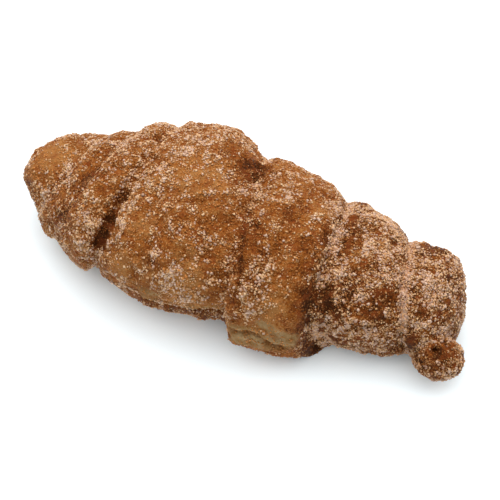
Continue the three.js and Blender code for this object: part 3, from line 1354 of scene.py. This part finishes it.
class Graph:
    """The node tree of one material."""

    def __init__(self, name: str) -> None:
        """Starts an empty material.

        Args:
            name: The material's name.
        """
        self.material = bpy.data.materials.new(name)
        self.material.use_nodes = True
        self.tree = self.material.node_tree
        self.tree.nodes.clear()

    def node(self, kind: str, settings: dict, sockets: dict) -> bpy.types.Node:
        """Adds one node.

        Args:
            kind: The node's type.
            settings: Its settings, which are set first. stops are a colour ramp's places and colours.
            sockets: Values or links for its inputs, by name or number.

        Returns:
            The node.
        """
        node = self.tree.nodes.new(kind)
        for name, setting in settings.items():
            if name == "stops":
                self.set_stops(node.color_ramp, setting)
            else:
                setattr(node, name, setting)
        for key, given in sockets.items():
            source = given.socket if isinstance(given, Value) else given
            if isinstance(source, bpy.types.NodeSocket):
                self.tree.links.new(source, node.inputs[key])
            else:
                node.inputs[key].default_value = source
        return node

    @staticmethod
    def set_stops(ramp: bpy.types.ColorRamp, stops: tuple) -> None:
        """Gives a colour ramp its stops.

        Args:
            ramp: The ramp.
            stops: Its stops, each a place and a colour.
        """
        while len(ramp.elements) < len(stops):
            ramp.elements.new(1.0)
        for element, (place, colour) in zip(ramp.elements, stops):
            element.position = place
            element.color = colour

    def attribute(self, name: str) -> Value:
        """A number painted on the mesh."""
        node = self.node("ShaderNodeAttribute", {"attribute_name": name}, {})
        return Value(self, node.outputs["Fac"])

    def noise(self, pattern: "Pattern") -> Value:
        """Smooth noise.

        Args:
            pattern: Its size, detail and roughness.

        Returns:
            About 0 to 1.
        """
        place = self.node("ShaderNodeTexCoord", {}, {}).outputs["Object"]
        sockets = {"Scale": 1 / (pattern.size * MM), "Detail": pattern.detail, "Roughness": pattern.roughness}
        node = self.node("ShaderNodeTexNoise", {}, {"Vector": place, **sockets})
        return Value(self, node.outputs["Fac"])

    def mix(self, share: Value | float, first: object, second: object) -> bpy.types.NodeSocket:
        """A colour between two colours."""
        node = self.node("ShaderNodeMix", {"data_type": "RGBA"}, {"Factor": share, 6: first, 7: second})
        return node.outputs[2]

    def finish(self, sockets: dict) -> bpy.types.Material:
        """Ends the material in one Principled shader.

        Args:
            sockets: Values or links for its inputs.

        Returns:
            The material.
        """
        shader = self.node("ShaderNodeBsdfPrincipled", {}, sockets)
        self.node("ShaderNodeOutputMaterial", {}, {"Surface": shader.outputs[0]})
        return self.material


# ---------------------------------------------------------------- finishes


@dataclass(frozen=True)
class CrustFinish:
    """Fried crust: golden on the crests, red-brown in the hollows, pale where the fat barely reached. The
    red-brown of the hollows is partly painted shade, and the small bright specks are partly melted sugar and
    partly painted glints.
    """

    golden: Colour = srgb(174, 118, 64)
    amber: Colour = srgb(150, 84, 28)
    brown: Colour = srgb(110, 52, 12)
    dark: Colour = srgb(60, 26, 4)
    stops: tuple[float, ...] = (0.1, 0.42, 0.7, 1.0)
    mottle: Pattern = Pattern(3.2, 4.0, 0.6, 0.7)
    speckle: Pattern = Pattern(1.1, 3.0, 0.65)
    grit: Pattern = Pattern(0.55, 3.0, 0.65, 0.9)
    red: Colour = srgb(136, 64, 26)
    red_patches: Pattern = Pattern(3.6, 2.0, share=0.5)
    red_edge: Span = (0.48, 0.66)
    pale: Colour = srgb(170, 140, 98)
    pale_shade: Colour = srgb(146, 106, 58)
    pale_shade_edge: Span = (0.4, 0.65)
    pale_cover: float = 0.9
    # partly melted sugar, partly painted glints: the warm bright colour of the small specks on the crust
    melted_sugar_and_glint: Colour = srgb(212, 148, 86)
    specks: Pattern = Pattern(0.6, 3.0, 0.7, 0.8)
    specks_from_sugar: float = 0.2
    speck_edge: Span = (0.58, 0.68)
    least_roughness: float = 0.45
    roughness_range: float = 0.35
    gloss: Colour = (1.0, 0.8, 0.55, 1.0)
    gloss_level: float = 0.14
    grain: Pattern = Pattern(1.3, 3.0, 0.6)
    fine_grain: Pattern = Pattern(0.5, 2.0, 0.6, 0.4)
    speck_height: float = 0.35
    relief: float = 0.001
    relief_strength: float = 0.8

    def tone(self, graph: Graph, mottle: Value) -> bpy.types.NodeSocket:
        """The fried crust's colour, from golden to dark, with the painted shade that the mesh's browning
        carries.

        Args:
            graph: The material's node tree.
            mottle: Its broad unevenness.

        Returns:
            A colour.
        """
        browning_and_shade = graph.attribute("browning_and_shade") + (mottle - 0.5) * self.mottle.share
        for pattern in (self.speckle, self.grit):
            browning_and_shade = browning_and_shade + (graph.noise(pattern) - 0.5) * pattern.share
        stops = tuple(zip(self.stops, (self.golden, self.amber, self.brown, self.dark)))
        ramp = graph.node("ShaderNodeValToRGB", {"stops": stops}, {"Fac": browning_and_shade})
        reddened = graph.noise(self.red_patches).ranged(*self.red_edge) * self.red_patches.share
        return graph.mix(reddened, ramp.outputs["Color"], self.red)

    def material(self) -> bpy.types.Material:
        """The crust's material.

        Returns:
            The material, which reads the mesh attributes for browning with its painted shade, paleness and
            sugar.
        """
        graph = Graph("fried_crust")
        mottle = graph.noise(self.mottle)
        pale_crust = graph.mix(mottle.ranged(*self.pale_shade_edge), self.pale, self.pale_shade)
        crust = graph.mix(graph.attribute("pale") * self.pale_cover, self.tone(graph, mottle), pale_crust)
        sugar = graph.attribute("sugar")
        specks = (graph.noise(self.specks) + sugar * self.specks_from_sugar).ranged(*self.speck_edge)
        fine = graph.noise(self.fine_grain) * self.fine_grain.share
        height = graph.noise(self.grain) + specks * self.speck_height + fine
        sockets = {"Height": height, "Strength": self.relief_strength, "Distance": self.relief}
        bumps = graph.node("ShaderNodeBump", {}, sockets)
        return graph.finish(
            {
                # partly melted sugar, partly painted glints: small bright specks mixed into the crust's
                # colour
                "Base Color": graph.mix(specks * self.specks.share, crust, self.melted_sugar_and_glint),
                "Roughness": mottle * self.roughness_range + self.least_roughness,
                "Normal": bumps.outputs["Normal"],
                "Specular IOR Level": self.gloss_level,
                "Specular Tint": self.gloss,
            }
        )


@dataclass(frozen=True)
class SugarFinish:
    """Sugar crystals: pale and glossy, some of them tinted partly by the fat and partly by painted
    see-through colour of the crust beneath.
    """

    name: str
    clear: Colour
    tinted: Colour
    roughness: float
    gloss: Colour = (1.0, 0.88, 0.7, 1.0)
    gloss_level: float = 0.35
    ior: float = 1.5

    def material(self) -> bpy.types.Material:
        """The crystals' material.

        Returns:
            The material, which reads the mesh attribute tint.
        """
        graph = Graph(self.name)
        return graph.finish(
            {
                "Base Color": graph.mix(graph.attribute("tint"), self.clear, self.tinted),
                "Roughness": self.roughness,
                "Specular IOR Level": self.gloss_level,
                "Specular Tint": self.gloss,
                "IOR": self.ior,
            }
        )


# ---------------------------------------------------------------- studio


class Lights(Enum):
    """What a lamp lights, as the state of its link to the floor."""

    FLOOR_ONLY = "INCLUDE"
    ALL_BUT_FLOOR = "EXCLUDE"


@dataclass(frozen=True)
class Lamp:
    """A soft square lamp that faces the pastry: place and size in metres, power in watts."""

    name: str
    place: tuple[float, float, float]
    size: float
    power: float
    colour: tuple[float, float, float]
    lights: Lights

    def hang(self, floor: bpy.types.Object) -> None:
        """Hangs the lamp.

        Args:
            floor: The floor, which is all that it lights, or all that it doesn't.
        """
        light = bpy.data.lights.new(self.name, "AREA")
        light.size = self.size
        light.energy = self.power
        light.color = self.colour
        lamp = put_in_scene(self.name, light)
        lamp.location = self.place
        lamp.rotation_euler = (-Vector(self.place)).to_track_quat("-Z", "Y").to_euler()
        receivers = bpy.data.collections.new(self.name + "_lights")
        receivers.objects.link(floor)
        receivers.collection_objects[0].light_linking.link_state = self.lights.value
        lamp.light_linking.receiver_collection = receivers


@dataclass(frozen=True)
class Studio:
    """The pale floor, the soft light and the camera. Lengths are metres, angles degrees."""

    azimuth: float = 22.0
    elevation: float = 50.0
    distance: float = 0.7
    lens: float = 165.0
    sensor: float = 36.0
    nearest: float = 0.01
    aim: tuple[float, float, float] = (0.0006, -0.0014, 0.018)
    shift: Span = (0.0102, -0.0044)
    floor_size: float = 6.0
    floor_colour: Colour = (0.84, 0.92, 0.98, 1.0)
    floor_roughness: float = 0.9
    glow_colour: Colour = (0.8, 0.95, 1.0, 1.0)
    glow: float = 0.08
    sky_colour: Colour = (0.97, 0.98, 1.0, 1.0)
    sky: float = 0.32
    lamps: tuple[Lamp, ...] = (
        Lamp("key", (-0.1, 0.26, 1.0), 0.8, 13.0, (1.0, 0.98, 0.95), Lights.ALL_BUT_FLOOR),
        Lamp("overhead", (0.0, 0.0, 1.0), 2.5, 40.0, (1.0, 0.98, 0.94), Lights.FLOOR_ONLY),
    )

    def floor(self) -> bpy.types.Object:
        """Lays the pale floor.

        Returns:
            The floor's object.
        """
        shape = bmesh.new()
        bmesh.ops.create_grid(shape, x_segments=1, y_segments=1, size=self.floor_size / 2)
        mesh = bpy.data.meshes.new("floor")
        shape.to_mesh(mesh)
        shape.free()
        finish = {
            "Base Color": self.floor_colour,
            "Roughness": self.floor_roughness,
            "Emission Color": self.glow_colour,
            "Emission Strength": self.glow,
        }
        mesh.materials.append(Graph("pale_floor").finish(finish))
        floor = put_in_scene("floor", mesh)
        return floor

    def camera(self) -> None:
        """Sets up the camera at the photograph's angle."""
        turn, rise = math.radians(self.azimuth), math.radians(self.elevation)
        back = Vector((math.sin(turn) * math.cos(rise), -math.cos(turn) * math.cos(rise), math.sin(rise)))
        lens = bpy.data.cameras.new("camera")
        lens.lens = self.lens
        lens.sensor_width = self.sensor
        lens.sensor_fit = "HORIZONTAL"
        lens.shift_x, lens.shift_y = self.shift
        lens.dof.use_dof = False
        lens.clip_start = self.nearest
        camera = put_in_scene("camera", lens)
        camera.location = Vector(self.aim) + back * self.distance
        camera.rotation_euler = back.to_track_quat("Z", "Y").to_euler()
        bpy.context.scene.camera = camera

    def build(self) -> None:
        """Sets up floor, light and camera."""
        floor = self.floor()
        world = bpy.data.worlds.new("studio")
        world.use_nodes = True
        background = world.node_tree.nodes["Background"]
        background.inputs["Color"].default_value = self.sky_colour
        background.inputs["Strength"].default_value = self.sky
        bpy.context.scene.world = world
        for lamp in self.lamps:
            lamp.hang(floor)
        self.camera()
        bpy.context.scene.view_settings.view_transform = "Standard"


# ---------------------------------------------------------------- the whole pastry

CLEAR_SUGAR = SugarFinish("clear_sugar", srgb(250, 214, 170), srgb(206, 148, 98), 0.3)
FINE_SUGAR = SugarFinish("fine_sugar", srgb(238, 190, 134), srgb(170, 106, 56), 0.3)
AMBER_SUGAR = SugarFinish("amber_sugar", srgb(216, 144, 76), srgb(118, 58, 20), 0.25)
CLUMPED_SUGAR = SugarFinish("clumped_sugar", srgb(238, 208, 186), srgb(178, 134, 110), 0.5)


@dataclass
class Pastry:
    """The whole pastry: its crust and every kind of sugar on it."""

    dough: Dough = field(default_factory=Dough)
    looks: Looks = field(default_factory=Looks)
    kinds: tuple[GrainKind, ...] = (
        GrainKind(
            name="sugar_crystals",
            shape=GrainShape.CRYSTAL,
            count=21000,
            smallest=0.35,
            largest=0.9,
            flatness=0.75,
            standing=0.25,
            liking=1.6,
            fat_and_see_through_tint=0.3,
            seed=101,
            finish=CLEAR_SUGAR,
        ),
        GrainKind(
            name="sugar_grains",
            shape=GrainShape.CRYSTAL,
            count=24000,
            smallest=0.3,
            largest=0.6,
            flatness=0.8,
            standing=0.15,
            liking=1.2,
            fat_and_see_through_tint=0.5,
            seed=102,
            finish=FINE_SUGAR,
        ),
        GrainKind(
            name="sugar_amber",
            shape=GrainShape.CRYSTAL,
            count=22000,
            smallest=0.4,
            largest=0.8,
            flatness=0.7,
            standing=0.1,
            liking=0.2,
            fat_and_see_through_tint=0.7,
            seed=103,
            finish=AMBER_SUGAR,
            at_blunt_end=0.5,
        ),
        GrainKind(
            name="sugar_clumps",
            shape=GrainShape.CLUMP,
            count=12000,
            smallest=0.35,
            largest=0.8,
            flatness=0.6,
            standing=0.15,
            liking=2.8,
            fat_and_see_through_tint=0.3,
            seed=104,
            finish=CLUMPED_SUGAR,
        ),
    )

    def build(self) -> None:
        """Builds and dresses the crust and the sugar."""
        skin = Skin(self.dough, self.looks)
        crust = skin.build()
        self.dress(crust, CrustFinish().material(), "crust")
        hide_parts(NODE)
        for kind in self.kinds:
            self.dress(Sugar(kind, skin).build(), kind.finish.material(), "sugar")

    @staticmethod
    def dress(piece: bpy.types.Object, material: bpy.types.Material, slot: str) -> None:
        """Gives a piece its finish and body, and reports it.

        Args:
            piece: The piece's object.
            material: Its material.
            slot: Its material slot; not used.
        """
        piece.data.materials.append(material)
        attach(piece, BODY)
        triangles = sum(len(face.vertices) - 2 for face in piece.data.polygons)
        log.info("%s: %d triangles, %s", piece.name, triangles, material.name)


def main() -> None:
    """Builds the pastry and the studio."""
    logging.basicConfig(level=logging.INFO, format="%(name)s: %(message)s")
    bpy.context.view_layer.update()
    Pastry().build()
    Studio().build()


if __name__ == "__main__":
    main()
